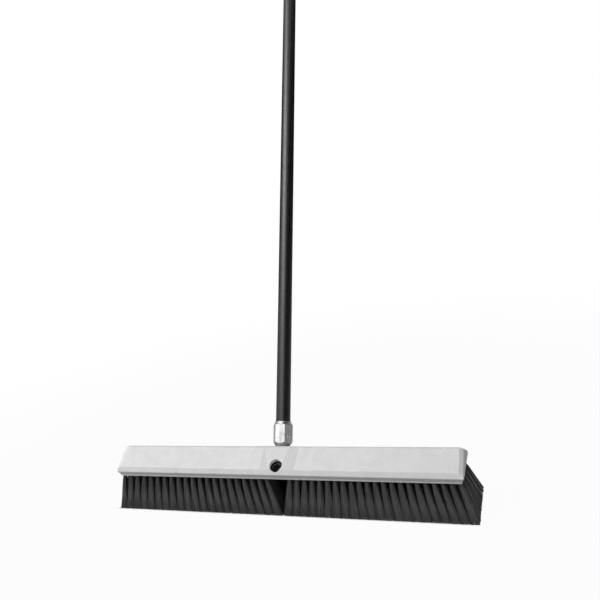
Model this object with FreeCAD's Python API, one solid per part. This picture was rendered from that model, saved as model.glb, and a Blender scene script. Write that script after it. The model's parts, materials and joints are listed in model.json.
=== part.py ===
import FreeCAD, Part
import math
import os

# Push broom: gabled block with two handle sockets, five rows of bristle tufts on staple
# anchors, and a tubular handle with a threaded hexagonal ferrule in the rear socket.
# Millimetres. X runs along the block, +Y towards the side the handle leans to, +Z up.
# The origin is on the floor, in the plane of the bristle tips, below the middle of the block.

Vector = FreeCAD.Vector

# --- Block: its own size, heights measured up from its underside ---
trim_height = 57.0            # underside of the block above the floor
block_length = 610.0
block_width = 80.0            # at the nose, the widest line
block_height = 40.0
nose_height = 10.0
ridge_flat = 3.0
bevel_run = 3.5               # lower bevel between the slope and the nose
bevel_rise = 8.5
undercut = 3.6                # how far the underside is set in from the nose
land_height = 3.0             # upright band along the foot of the block
end_chamfer_run = 7.0         # chamfer round each gable end, along X
end_chamfer_drop = 2.2

# --- Saddle: the raised pad across the middle that carries both sockets ---
saddle_flat_width = 46.0
saddle_ramp = 15.0
saddle_lift = 0.2             # top of the saddle above the ridge
saddle_top_flat = 4.0
saddle_crest_y = 21.0
saddle_crest_height = 30.0

# --- Sockets and thread ---
handle_angle = 61.5           # handle above the horizontal
socket_y = 30.5               # mouth centre from the middle of the block
socket_stagger = 5.0          # front socket shifted to +X, rear socket to -X
socket_floor = 2.0            # least block left below a socket
counterbore_depth = 5.0       # along the socket's axis, from the mouth centre
counterbore_diameter = 21.6
thread_major = 19.05
thread_minor = 14.0
thread_pitch = 5.08
thread_turns = 2.5
thread_crest = 1.9            # flat on top of the thread
thread_root = 3.3             # width of the thread at its foot
thread_sink = 1.0             # how far the foot stands inside the stud
thread_play = 0.22            # radial room between thread and socket

# --- Bristle tufts and their anchors ---
row_spread = 0.19             # distance between rows, as a share of the block's width
row_lean = 8.8                # outward lean added from one row to the next, degrees
tuft_count_left = 21
tuft_count_right = 22
tuft_end_margin = 7.8         # outermost tuft roots back from the block's ends
tuft_gap = 42.0               # between the halves of a row
lean_left = -5.5              # lean along X at the left end of each half
lean_right = 21.0             # and at the right end
tuft_hole_depth = 14.0
tuft_root_radius = 2.75
tuft_neck = 2.0               # straight below the block, before the tuft flares
tuft_flare_drop = 12.0        # depth below the block at which the flare ends
tuft_flare_radius = 4.1
tuft_tip_radius = 4.7
tuft_play = 0.2
anchor_thickness = 0.5
anchor_height = 2.6
anchor_inset = 0.15           # anchor ends back from the tuft's side

# --- Ferrule ---
pilot_diameter = 21.0
pilot_height = 5.0
shoulder_diameter = 25.0
taper_height = 7.8
hex_across_flats = 31.0
hex_height = 34.0
hex_turn = 3.0                # hexagon turned about the handle, degrees
crown_height = 4.8            # collar above the hexagon's rim
crown_diameter = 29.2
crown_foot_diameter = 30.8
rim_height = 0.6              # steep chamfer from the hexagon to the collar
tube_seat_depth = 33.0        # how deep the tube stands in the ferrule
tube_fit = 0.05
ring_thickness = 2.0
ring_inner_diameter = 14.6
ring_play = 0.1               # room between the ring and the pilot

# --- Handle tube, rivet and cap ---
tube_diameter = 25.4
tube_wall = 1.0
handle_length = 1524.0        # thread tip to the end of the cap
rivet_diameter = 3.2
rivet_head_diameter = 5.2
rivet_head_height = 0.9
rivet_height = 7.5            # above the foot of the hexagon
rivet_grip = 2.2              # shank standing inside the tube
rivet_play = 0.05
cap_sleeve = 26.0             # cap over the tube
cap_wall = 1.2
cap_fit = 0.05
cap_top = 3.0                 # web over the tube's end
eye_width = 19.0
eye_thickness = 8.0
eye_height = 22.0
eye_hole_diameter = 9.0

# --- Places worked out from the sizes above ---
half_length = block_length / 2
half_width = block_width / 2
foot_half_width = half_width - undercut
slope_foot_y = half_width - bevel_run
slope_foot_height = nose_height + bevel_rise
ridge_half = ridge_flat / 2
handle_rad = math.radians(handle_angle)
saddle_half = saddle_flat_width / 2
saddle_slope = (saddle_crest_height - slope_foot_height) / (slope_foot_y - saddle_crest_y)
mouth_height = saddle_crest_height - (socket_y - saddle_crest_y) * saddle_slope
socket_radius = thread_major / 2 + thread_play
ledge_y = socket_y - counterbore_depth * math.cos(handle_rad)
ledge_height = mouth_height - counterbore_depth * math.sin(handle_rad)
socket_low_edge = socket_radius * math.cos(handle_rad)
socket_depth = (ledge_height - socket_floor - socket_low_edge) / math.sin(handle_rad)
thread_length = thread_turns * thread_pitch
cut_reach = block_width       # length of cutting tools that pass right out of the block
row_pitch = block_width * row_spread
tuft_end_x = half_length - tuft_end_margin
hex_corner = hex_across_flats / math.sqrt(3)
hex_foot = ring_thickness + pilot_height + taper_height
ring_height = ring_thickness - ring_play
tube_foot = hex_foot + hex_height - tube_seat_depth
handle_top = handle_length - thread_length
tube_top = handle_top - eye_height - cap_top


def at_height(height):
    """Z of a height given from the underside of the block."""
    return trim_height + height


def handle_direction(side):
    """Unit vector up a socket's axis: side +1 for the rear socket, -1 for the front one."""
    return Vector(0, side * math.cos(handle_rad), math.sin(handle_rad))


def socket_ledge(side):
    """Centre of the ledge at the foot of a socket's counterbore."""
    return Vector(-side * socket_stagger, side * ledge_y, at_height(ledge_height))


def place_on_axis(shape, side):
    """Move a shape built about +Z from the origin onto a socket's ledge and axis."""
    placed = shape.copy()
    turn = FreeCAD.Rotation(Vector(1, 0, 0), -side * (90.0 - handle_angle))
    placed.Placement = FreeCAD.Placement(socket_ledge(side), turn) * shape.Placement
    return placed


def polygon_face(points):
    """Planar face inside a closed run of straight edges."""
    return Part.Face(Part.makePolygon(points + [points[0]]))


def section_wire(x, half_profile):
    """Closed wire in the plane X = x, mirrored about the middle of the block."""
    right = [Vector(x, y, at_height(height)) for y, height in half_profile]
    left = [Vector(x, -y, at_height(height)) for y, height in reversed(half_profile)]
    return Part.makePolygon(right + left + [right[0]])


def trimmed(shape, point, normal):
    """Cut away everything on the side of a plane that its normal points to."""
    size = 2 * block_length
    slab = Part.makeBox(size, size, size, Vector(-size / 2, -size / 2, 0))
    slab.Placement = FreeCAD.Placement(point, FreeCAD.Rotation(Vector(0, 0, 1), normal))
    return shape.cut(slab)


def block_body():
    """Gabled bar with bevelled edges, undercut foot and chamfered gable ends."""
    profile = [
        (foot_half_width, land_height),
        (half_width, nose_height),
        (slope_foot_y, slope_foot_height),
        (ridge_half, block_height),
    ]
    start = Part.Face(section_wire(-half_length, profile))
    body = start.extrude(Vector(block_length, 0, 0))
    slope_rise = block_height - slope_foot_height
    slope_run = slope_foot_y - ridge_half
    slope_length = math.hypot(slope_rise, slope_run)
    for end in (-1, 1):
        foot = Vector(end * (half_length - undercut), 0, at_height(land_height))
        lower = Vector(end * (nose_height - land_height), 0, -undercut)
        body = trimmed(body, foot, lower)
        for side in (-1, 1):
            outward = Vector(0, side * slope_rise / slope_length, slope_run / slope_length)
            normal = outward * end_chamfer_run + Vector(end * end_chamfer_drop, 0, 0)
            edge = Vector(end * (half_length - end_chamfer_run), side * ridge_half, at_height(block_height))
            body = trimmed(body, edge, normal)
    foot_length = block_length - 2 * undercut
    land = Part.makeBox(foot_length, 2 * foot_half_width, land_height)
    land.translate(Vector(-foot_length / 2, -foot_half_width, at_height(0)))
    return body.fuse(land).removeSplitter()


def saddle():
    """Raised pad across the middle, with a ramp down to the slopes at each side."""
    plateau = [
        (slope_foot_y, slope_foot_height),
        (saddle_crest_y, saddle_crest_height),
        (saddle_top_flat / 2, block_height + saddle_lift),
    ]
    slope = (block_height - slope_foot_height) / (slope_foot_y - ridge_half)
    mid_height = slope_foot_height + (slope_foot_y - saddle_crest_y) * slope
    faded = [
        (slope_foot_y, slope_foot_height),
        (saddle_crest_y, mid_height),
        (ridge_half, block_height),
    ]
    wide = saddle_half + saddle_ramp
    middle = Part.Face(section_wire(-saddle_half, plateau)).extrude(Vector(saddle_flat_width, 0, 0))
    ramps = []
    for end in (-1, 1):
        ends = [section_wire(end * saddle_half, plateau), section_wire(end * wide, faded)]
        ramps.append(Part.makeLoft(ends, True, True))
    return middle.fuse(ramps)


def socket_cutter(side):
    """Tool for one socket: counterbore and plain bore at the thread's outer diameter."""
    bore = Part.makeCylinder(socket_radius, socket_depth, Vector(0, 0, -socket_depth))
    counterbore = Part.makeCylinder(counterbore_diameter / 2, cut_reach)
    return place_on_axis(bore.fuse(counterbore), side)


def tuft_row_places(row):
    """Roots of one row as (x, lean) pairs for its left and right half; row -2 is the front.

    Odd rows have one tuft fewer over the same length, so their tufts stand between the others.
    """
    shift = 0.0
    if row != 0:
        shift = -socket_stagger * row / abs(row)
    halves = {}
    for name, count, start, end in (
        ("left", tuft_count_left, -tuft_end_x, shift - tuft_gap / 2),
        ("right", tuft_count_right, shift + tuft_gap / 2, tuft_end_x),
    ):
        places = []
        tufts = count - row % 2
        for index in range(tufts):
            share = index / (tufts - 1)
            x = start + (end - start) * share
            lean = lean_left + (lean_right - lean_left) * share
            places.append((x, lean))
        halves[name] = places
    return halves


def tuft_direction(row, lean):
    """Unit vector from a tuft's root in the underside towards its tip."""
    across = math.tan(math.radians(row * row_lean))
    along = math.tan(math.radians(lean))
    return Vector(along, across, -1).normalize()


def place_on_root(shape, row, x, lean):
    """Move a shape built down -Z from the origin onto a tuft's root in the underside."""
    placed = shape.copy()
    turn = FreeCAD.Rotation(Vector(0, 0, -1), tuft_direction(row, lean))
    root = Vector(x, row * row_pitch, at_height(0))
    placed.Placement = FreeCAD.Placement(root, turn) * shape.Placement
    return placed


def tuft_hole():
    """Tool for the drilled hole of one tuft."""
    length = tuft_hole_depth + land_height
    radius = tuft_root_radius + tuft_play
    return Part.makeCylinder(radius, length, Vector(0, 0, -land_height))


def tuft_stock():
    """One tuft before it is cut to the floor: straight in its hole, flaring just below it."""
    reach = 1.6 * trim_height
    down = Vector(0, 0, -1)
    spread = (tuft_tip_radius - tuft_flare_radius) / (trim_height - tuft_flare_drop)
    end_radius = tuft_flare_radius + spread * (reach - tuft_flare_drop)
    root = Part.makeCylinder(tuft_root_radius, tuft_hole_depth + tuft_neck, Vector(0, 0, -tuft_neck))
    flare = Part.makeCone(tuft_root_radius, tuft_flare_radius, tuft_flare_drop - tuft_neck,
                          Vector(0, 0, -tuft_neck), down)
    free = Part.makeCone(tuft_flare_radius, end_radius, reach - tuft_flare_drop,
                         Vector(0, 0, -tuft_flare_drop), down)
    slot = Part.makeBox(2 * tuft_root_radius, anchor_thickness, anchor_height)
    slot.translate(Vector(-tuft_root_radius, -anchor_thickness / 2, tuft_hole_depth - anchor_height))
    return root.fuse([flare, free]).removeSplitter().cut(slot)


def anchor():
    """Flat staple lying in the fold of one tuft."""
    length = 2 * (tuft_root_radius - anchor_inset)
    staple = Part.makeBox(length, anchor_thickness, anchor_height)
    staple.translate(Vector(-length / 2, -anchor_thickness / 2, tuft_hole_depth - anchor_height))
    return staple


def trimmed_tufts(row, places):
    """Separate solids for half a row, cut level with the floor."""
    below = Part.makeBox(2 * block_length, 4 * block_width, block_width)
    below.translate(Vector(-block_length, -2 * block_width, -block_width))
    stock = tuft_stock()
    tufts = [place_on_root(stock, row, x, lean).cut(below) for x, lean in places]
    return Part.makeCompound(tufts)


def broom_block():
    """Block with its saddle, two sockets and the drilled tuft holes."""
    body = block_body().fuse(saddle()).removeSplitter()
    body = body.cut([socket_cutter(-1), socket_cutter(1)])
    hole = tuft_hole()
    holes = []
    for row in range(-2, 3):
        for places in tuft_row_places(row).values():
            holes += [place_on_root(hole, row, x, lean) for x, lean in places]
    return body.cut(holes)


def thread_ridge():
    """Helical ridge of the thread, rising from the tip of the stud."""
    inner = thread_minor / 2 - thread_sink
    outer = thread_major / 2
    helix = Part.makeHelix(thread_pitch, thread_length - thread_pitch, inner)
    profile = Part.makePolygon([
        Vector(inner, 0, -thread_root / 2),
        Vector(outer, 0, -thread_crest / 2),
        Vector(outer, 0, thread_crest / 2),
        Vector(inner, 0, thread_root / 2),
        Vector(inner, 0, -thread_root / 2),
    ])
    ridge = Part.Wire(helix).makePipeShell([profile], True, True)
    ridge.translate(Vector(0, 0, thread_pitch / 2 - thread_length))
    return ridge


def hexagon_face(height):
    """Hexagon of the ferrule at a height, its corners turned to the wanted angle."""
    points = []
    for index in range(6):
        angle = math.radians(hex_turn + 60 * index)
        points.append(Vector(hex_corner * math.cos(angle), hex_corner * math.sin(angle), height))
    return polygon_face(points)


def ferrule_body():
    """Stud, pilot, taper and hexagon with the tube's socket and the rivet's hole."""
    stud_length = thread_length + ring_thickness
    core = Part.makeCylinder(thread_minor / 2, stud_length, Vector(0, 0, -thread_length))
    stud = core.fuse(thread_ridge())
    pilot = Part.makeCylinder(pilot_diameter / 2, pilot_height, Vector(0, 0, ring_thickness))
    taper_foot = ring_thickness + pilot_height
    hexagon = hexagon_face(taper_foot).extrude(Vector(0, 0, taper_height + hex_height))
    envelope = Part.makeCone(shoulder_diameter / 2, hex_corner, taper_height, Vector(0, 0, taper_foot))
    crown_foot = hex_foot + hex_height - crown_height
    rim_foot = crown_foot - rim_height
    barrel = Part.makeCylinder(hex_corner, rim_foot - hex_foot, Vector(0, 0, hex_foot))
    rim = Part.makeCone(hex_corner, crown_foot_diameter / 2, rim_height, Vector(0, 0, rim_foot))
    crown = Part.makeCone(crown_foot_diameter / 2, crown_diameter / 2, crown_height,
                          Vector(0, 0, crown_foot))
    hexagon = hexagon.common(envelope.fuse([barrel, rim, crown]))
    head = pilot.fuse(hexagon)
    bore = Part.makeCylinder(tube_diameter / 2 + tube_fit, tube_seat_depth, Vector(0, 0, tube_foot))
    return head.cut([bore, rivet_hole()]).fuse(stud)


def rivet_axis():
    """Start and direction of the rivet, through the middle of one flat of the hexagon."""
    angle = math.radians(hex_turn - 30)
    direction = Vector(math.cos(angle), math.sin(angle), 0)
    return Vector(0, 0, hex_foot + rivet_height), direction


def rivet_hole():
    """Tool for the rivet's hole through one wall of the ferrule and the tube."""
    centre, direction = rivet_axis()
    return Part.makeCylinder(rivet_diameter / 2 + rivet_play, hex_across_flats, centre, direction)


def ferrule_rivet():
    """Rivet with a domed head on the flat of the hexagon."""
    centre, direction = rivet_axis()
    flat = hex_across_flats / 2
    start = tube_diameter / 2 - tube_wall - rivet_grip
    shank = Part.makeCylinder(rivet_diameter / 2, flat - start, centre + direction * start, direction)
    head = Part.makeCone(rivet_head_diameter / 2, rivet_diameter / 2, rivet_head_height,
                         centre + direction * flat, direction)
    return shank.fuse(head).removeSplitter()


def socket_ring():
    """Rubber ring round the neck, on the counterbore's ledge and just under the pilot."""
    outer = Part.makeCylinder(pilot_diameter / 2, ring_height)
    return outer.cut(Part.makeCylinder(ring_inner_diameter / 2, ring_height))


def handle_tube():
    """Steel tube standing in the ferrule, with the rivet's hole in one wall."""
    outer = Part.makeCylinder(tube_diameter / 2, tube_top - tube_foot, Vector(0, 0, tube_foot))
    inner = Part.makeCylinder(tube_diameter / 2 - tube_wall, tube_top - tube_foot, Vector(0, 0, tube_foot))
    return outer.cut([inner, rivet_hole()])


def hang_cap():
    """Plastic cap over the tube's top with a flat eye to hang the broom by."""
    radius = tube_diameter / 2 + cap_fit + cap_wall
    sleeve_foot = tube_top - cap_sleeve
    sleeve = Part.makeCylinder(radius, cap_sleeve + cap_top, Vector(0, 0, sleeve_foot))
    bore = Part.makeCylinder(tube_diameter / 2 + cap_fit, cap_sleeve, Vector(0, 0, sleeve_foot))
    eye_foot = tube_top + cap_top
    eye_radius = eye_width / 2
    web = Part.makeBox(eye_width, eye_thickness, eye_height - eye_radius,
                       Vector(-eye_radius, -eye_thickness / 2, eye_foot))
    eye_centre = Vector(0, -eye_thickness / 2, handle_top - eye_radius)
    disc = Part.makeCylinder(eye_radius, eye_thickness, eye_centre, Vector(0, 1, 0))
    hole = Part.makeCylinder(eye_hole_diameter / 2, eye_thickness, eye_centre, Vector(0, 1, 0))
    return sleeve.fuse([web, disc]).removeSplitter().cut([bore, hole])


def save(name, shape):
    """Write one node as a STEP file."""
    shape.exportStep(os.path.join("parts", name + ".step"))
    print(name, "solids", len(shape.Solids), "volume", round(shape.Volume, 1), "valid", shape.isValid())


os.makedirs("parts", exist_ok=True)

save("broom_block", broom_block())

row_names = {-2: "front", -1: "mid_front", 0: "middle", 1: "mid_rear", 2: "rear"}
staple = anchor()
for row, row_name in row_names.items():
    staples = []
    for half, places in tuft_row_places(row).items():
        save("bristles_" + row_name + "_" + half, trimmed_tufts(row, places))
        staples += [place_on_root(staple, row, x, lean) for x, lean in places]
    save("anchors_" + row_name, Part.makeCompound(staples))

rear = 1
save("socket_ring", place_on_axis(socket_ring(), rear))
save("ferrule", place_on_axis(ferrule_body(), rear))
save("ferrule_rivet", place_on_axis(ferrule_rivet(), rear))
save("handle_tube", place_on_axis(handle_tube(), rear))
save("hang_cap", place_on_axis(hang_cap(), rear))
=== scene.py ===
"""Push broom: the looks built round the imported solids.

Lengths in the classes below are in millimetres, apart from the studio's; the scene is in metres.
X runs along the block, +Y is the side the handle leans to and +Z is up.
"""

import json
import logging
import math
from dataclasses import dataclass
from enum import Enum
from functools import partial
from typing import Any, Callable, Iterable, Sequence

import bmesh
import bpy
from mathutils import Matrix, Vector


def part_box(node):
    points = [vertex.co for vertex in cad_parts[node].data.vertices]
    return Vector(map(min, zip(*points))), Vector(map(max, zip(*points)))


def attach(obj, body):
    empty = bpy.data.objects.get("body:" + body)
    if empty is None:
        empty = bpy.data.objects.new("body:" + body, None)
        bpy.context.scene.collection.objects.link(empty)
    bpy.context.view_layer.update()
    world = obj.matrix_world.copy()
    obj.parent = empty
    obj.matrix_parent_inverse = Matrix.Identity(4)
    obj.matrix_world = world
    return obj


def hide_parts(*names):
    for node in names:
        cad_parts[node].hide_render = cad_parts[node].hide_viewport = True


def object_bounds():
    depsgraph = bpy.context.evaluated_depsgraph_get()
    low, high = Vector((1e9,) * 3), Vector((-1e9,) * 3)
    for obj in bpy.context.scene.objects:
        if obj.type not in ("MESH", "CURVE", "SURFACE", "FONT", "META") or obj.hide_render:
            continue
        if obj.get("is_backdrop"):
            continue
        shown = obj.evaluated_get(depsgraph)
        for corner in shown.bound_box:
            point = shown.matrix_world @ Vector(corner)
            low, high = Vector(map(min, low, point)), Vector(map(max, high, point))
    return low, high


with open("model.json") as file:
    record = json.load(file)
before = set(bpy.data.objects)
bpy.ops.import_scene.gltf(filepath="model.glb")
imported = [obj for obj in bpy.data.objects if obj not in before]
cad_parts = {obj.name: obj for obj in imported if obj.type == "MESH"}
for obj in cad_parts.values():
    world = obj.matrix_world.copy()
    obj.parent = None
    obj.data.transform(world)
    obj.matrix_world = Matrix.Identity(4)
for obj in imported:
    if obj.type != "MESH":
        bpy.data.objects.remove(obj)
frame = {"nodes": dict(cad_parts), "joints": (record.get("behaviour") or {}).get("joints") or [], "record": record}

LOG = logging.getLogger("push_broom")
AROUND = "around"
MM = 0.001
MERGE = 1e-6  # metres within which two points or heights of a mesh are one
ON_PLANE = 1e-7  # metres within which a point lies on a cutting plane
ROUND = 96  # points round a large turned shape
ON_AXIS = 0.01  # radius in millimetres that stands for a point on an axis
POLYMER_IOR = 1.49
WHITE = (1.0, 1.0, 1.0, 1.0)
LEVEL = (1.0, 1.0, 0.0)  # keeps a vector's X and Y

# kinds of node that stand in many trees
EMISSION = "ShaderNodeEmission"
MATHS = "ShaderNodeMath"
MIX = "ShaderNodeMix"
NOISE = "ShaderNodeTexNoise"
PLACE = "ShaderNodeTexCoord"
PRINCIPLED = "ShaderNodeBsdfPrincipled"
RANGE = "ShaderNodeMapRange"
SPLIT = "ShaderNodeSeparateXYZ"
STORE = "GeometryNodeStoreNamedAttribute"
READ = "GeometryNodeInputNamedAttribute"
VECTORS = "ShaderNodeVectorMath"

NodeAdder = Callable[..., bpy.types.Node]


class Body(Enum):
    """Rigid bodies of the broom that a piece can ride on."""

    HEAD = "head"
    RING = "ring"
    HANDLE = "handle"


class Slot(Enum):
    """Material slots of the record."""

    BLOCK = "block"
    BRISTLE = "bristle"
    STAPLE = "staple"
    RUBBER = "rubber"
    PLATED = "plated_metal"
    COAT = "black_coat"
    PLASTIC = "black_plastic"


class Row(Enum):
    """Bristle rows from the front slope to the rear one."""

    FRONT = "front"
    MID_FRONT = "mid_front"
    MIDDLE = "middle"
    MID_REAR = "mid_rear"
    REAR = "rear"


class Half(Enum):
    """Halves of a row, on either side of the sockets."""

    LEFT = "left"
    RIGHT = "right"


# --- Node and mesh helpers ---


def linear(colour: str) -> tuple[float, float, float, float]:
    """Turn an sRGB hex colour into linear RGBA.

    Args:
        colour: Six hex digits after a hash sign.

    Returns:
        Linear red, green and blue, and an alpha of one.
    """
    parts = [int(colour[i : i + 2], 16) / 255 for i in (1, 3, 5)]
    turned = [c / 12.92 if c <= 0.04045 else ((c + 0.055) / 1.055) ** 2.4 for c in parts]
    return (*turned, 1.0)


def feed(node: bpy.types.Node, inputs: dict | Sequence[Any]) -> None:
    """Set or link some inputs of a node.

    Args:
        node: The node to feed.
        inputs: Value, output socket, or node whose first output is meant, by input or in order.
    """
    for key, value in inputs.items() if isinstance(inputs, dict) else enumerate(inputs):
        if isinstance(value, bpy.types.Node):
            value = value.outputs[0]
        if isinstance(value, bpy.types.NodeSocket):
            node.id_data.links.new(value, node.inputs[key])
        else:
            node.inputs[key].default_value = value


def add_node(
    tree: bpy.types.NodeTree, kind: str, inputs: dict | Sequence[Any] = (), **settings: Any
) -> bpy.types.Node:
    """Add one node, with its settings, values and links.

    Args:
        tree: Node tree to add it to.
        kind: Blender's type name of the node.
        inputs: What to feed its inputs with.
        **settings: Properties of the node itself.

    Returns:
        The new node.
    """
    node = tree.nodes.new(kind)
    for name, value in settings.items():
        setattr(node, name, value)
    feed(node, inputs)
    return node


def new_material(name: str, kind: str = PRINCIPLED) -> tuple[bpy.types.Material, NodeAdder, bpy.types.Node]:
    """Make a material with one shader.

    Args:
        name: Name of the material.
        kind: Type name of its shader.

    Returns:
        The material, what adds a node to its tree, and the shader node.
    """
    material = bpy.data.materials.new(name)
    material.use_nodes = True
    material.node_tree.nodes.clear()
    node = partial(add_node, material.node_tree)
    shader = node(kind)
    node("ShaderNodeOutputMaterial", {"Surface": shader})
    return material, node, shader


def add_modifier(piece: bpy.types.Object, kind: str, **settings: Any) -> None:
    """Add a modifier to a piece.

    Args:
        piece: The piece.
        kind: Blender's type name of the modifier.
        **settings: Properties of the modifier.
    """
    modifier = piece.modifiers.new(kind.lower(), kind)
    for name, value in settings.items():
        setattr(modifier, name, value)


def mesh_object(name: str, shape: bmesh.types.BMesh) -> bpy.types.Object:
    """Turn a bmesh in metres into an object at the origin.

    Args:
        name: Name of the piece.
        shape: The mesh, which is freed.

    Returns:
        The new object, smooth shaded.
    """
    mesh = bpy.data.meshes.new(name)
    shape.to_mesh(mesh)
    shape.free()
    mesh.shade_smooth()
    made = bpy.data.objects.new(name, mesh)
    bpy.context.scene.collection.objects.link(made)
    return made


def baked(piece: bpy.types.Object) -> bpy.types.Object:
    """Replace a piece's modifiers by the plain mesh they make.

    Args:
        piece: Object whose modifiers are used up.

    Returns:
        The same object.
    """
    graph = bpy.context.evaluated_depsgraph_get()
    mesh = bpy.data.meshes.new_from_object(
        piece.evaluated_get(graph), preserve_all_data_layers=True, depsgraph=graph
    )
    piece.modifiers.clear()
    old = piece.data
    piece.data = mesh
    bpy.data.meshes.remove(old)
    mesh.name = piece.name
    return piece


def polar_shell(
    rows: Sequence[Any],
    radius: Callable[[float, Any], tuple[float, float]],
    angles: Sequence[float],
    place: Matrix,
    closed: bool = False,
) -> bmesh.types.BMesh:
    """Shell round an axis, from stacked rings joined by quads.

    Args:
        rows: Ring parameters in order, handed on to the radius function.
        radius: Gives (radius, height) in millimetres for an angle and a ring parameter.
        angles: Angle of each column of points.
        place: Matrix from the axis frame, in metres, to the scene.
        closed: Whether the last ring joins the first; otherwise a fan closes each end.

    Returns:
        The shell with its faces pointing outwards.
    """
    shape = bmesh.new()
    wrap = shape.loops.layers.uv.new(AROUND)
    steps = len(angles)
    rings = []
    for row in rows:
        ring = []
        for angle in angles:
            reach, height = radius(angle, row)
            point = Vector((reach * math.cos(angle), reach * math.sin(angle), height)) * MM
            ring.append(shape.verts.new(place @ point))
        rings.append(ring)
    lifts = [radius(angles[0], row)[1] for row in rows]
    for number, (low, high) in enumerate(zip(rings, rings[1:] + (rings[:1] if closed else []))):
        for index in range(steps):
            after = (index + 1) % steps
            face = shape.faces.new((low[index], low[after], high[after], high[index]))
            lift = lifts[(number + 1) % len(lifts)]
            spots = ((0, lifts[number]), (1, lifts[number]), (1, lift), (0, lift))
            for loop, (turn, height) in zip(face.loops, spots):
                loop[wrap].uv = ((index + turn) / steps, height)
    for ring in () if closed else (rings[0][::-1], rings[-1]):
        centre = shape.verts.new(sum((v.co for v in ring), Vector()) / steps)
        for index in range(steps):
            shape.faces.new((centre, ring[index], ring[(index + 1) % steps]))
    bmesh.ops.recalc_face_normals(shape, faces=shape.faces)
    return shape


def lathe(
    profile: Sequence[tuple[float, float]], steps: int, place: Matrix, closed: bool = False
) -> bmesh.types.BMesh:
    """Turned shape from an outline.

    Args:
        profile: (radius, height) points in millimetres.
        steps: Points round the axis.
        place: Matrix from the axis frame, in metres, to the scene.
        closed: Whether the outline closes on itself; otherwise it starts and ends at the axis.

    Returns:
        The closed shape.
    """
    angles = [math.tau * index / steps for index in range(steps)]
    return polar_shell(range(len(profile)), lambda angle, row: profile[row], angles, place, closed)


def rounded(profile: Sequence[tuple[float, float]], size: float, steps: int = 3) -> list[tuple[float, float]]:
    """Round the inner corners of an outline.

    Args:
        profile: (radius, height) points.
        size: How far back from each corner its curve starts, in millimetres.
        steps: Segments in each curve.

    Returns:
        The outline with a short curve in place of each corner.
    """
    most = 0.45  # of the way to the next corner
    result = [profile[0]]
    for before, corner, after in zip(profile, profile[1:], profile[2:]):
        middle = Vector(corner)
        ends = []
        for other in (before, after):
            away = Vector(other) - middle
            ends.append(middle + away.normalized() * min(size, most * away.length))
        for step in range(steps + 1):
            share = step / steps
            point = ends[0].lerp(middle, share).lerp(middle.lerp(ends[1], share), share)
            result.append((point.x, point.y))
    result.append(profile[-1])
    return result


def smallest(first: float, second: float, blend: float) -> float:
    """Smaller of two values, with a soft change between them.

    Args:
        first: One value.
        second: The other value.
        blend: Width of the change.

    Returns:
        A value at most the smaller of the two.
    """
    mix = max(blend - abs(first - second), 0.0) / blend
    return min(first, second) - mix * mix * blend / 4


def axis_place(origin: Vector, direction: Vector) -> Matrix:
    """Matrix of a frame whose Z follows an axis and whose X stays along the block.

    Args:
        origin: Point on the axis, in metres.
        direction: Unit vector along it.

    Returns:
        Matrix from that frame to the scene.
    """
    across = Vector((1, 0, 0))
    up = direction.cross(across)
    turn = Matrix((across, up, direction)).transposed().to_4x4()
    return Matrix.Translation(origin) @ turn


def settle(
    piece: bpy.types.Object,
    body: Body,
    nodes: Iterable[str] = (),
    finish: bpy.types.Material | None = None,
) -> None:
    """Let a finished piece ride on a body and stand for its CAD nodes.

    Args:
        piece: The finished object.
        body: Body it moves with.
        nodes: CAD nodes that it replaces.
        finish: Material, unless the piece has its own already.
    """
    if finish:
        piece.data.materials.append(finish)
    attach(piece, body.value)
    if nodes:
        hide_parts(*nodes)
    LOG.info("%s: %d faces on %s", piece.name, len(piece.data.polygons), body.value)


# --- Finishes ---


@dataclass(frozen=True)
class Finish:
    """Two tones of one material, mixed by a pattern. Patterns are measured in millimetres."""

    name: str
    light: str
    dark: str

    def dress(
        self,
        node: NodeAdder,
        shader: bpy.types.Node,
        tone: Any,
        gloss: tuple[Any, float, float] | None = None,
        relief: tuple[Any, float, float] | None = None,
    ) -> None:
        """Mix the tones, and let patterns vary the roughness and the height.

        Args:
            node: Adds a node to the material's tree.
            shader: The material's shader.
            tone: Share of the light tone.
            gloss: A pattern, and the roughness at its lowest and at its highest.
            relief: A pattern, the strength of its relief and its depth in millimetres.
        """
        tones = {"Factor": tone, 6: linear(self.dark), 7: linear(self.light)}
        feed(shader, {"Base Color": node(MIX, tones, data_type="RGBA").outputs[2]})
        if gloss:
            pattern, low, high = gloss
            feed(shader, {"Roughness": node(RANGE, {"Value": pattern, "To Min": low, "To Max": high})})
        if relief:
            pattern, strength, depth = relief
            height = {"Height": pattern, "Strength": strength, "Distance": depth * MM}
            feed(shader, {"Normal": node("ShaderNodeBump", height)})


@dataclass(frozen=True)
class FoamedPlastic(Finish):
    """Structural foam polypropylene, moulded: matt, with faint flow swirls and a fine pebble."""

    name: str = "foamed_polypropylene"
    light: str = "#dfdfdf"
    dark: str = "#d4d4d4"
    swirl: float = 34.0
    pebble: float = 1.1  # finer in the real block, drawn coarse enough to show

    def material(self) -> bpy.types.Material:
        """Build the material.

        Returns:
            The material.
        """
        made, node, shader = new_material(self.name)
        place = node(PLACE).outputs["Object"]
        flow = {"Scale": 1 / (self.swirl * MM), "Detail": 5.0, "Roughness": 0.6, "Distortion": 1.4}
        swirl = node(NOISE, {"Vector": place, **flow})
        grain = node(NOISE, {"Vector": place, "Scale": 1 / (self.pebble * MM), "Detail": 2.0})
        tone = node(RANGE, {"Value": swirl, "From Min": 0.3, "From Max": 0.7})
        self.dress(node, shader, tone, (grain, 0.5, 0.68), (grain, 0.25, 0.06))
        feed(shader, {"IOR": POLYMER_IOR})
        return made


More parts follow.
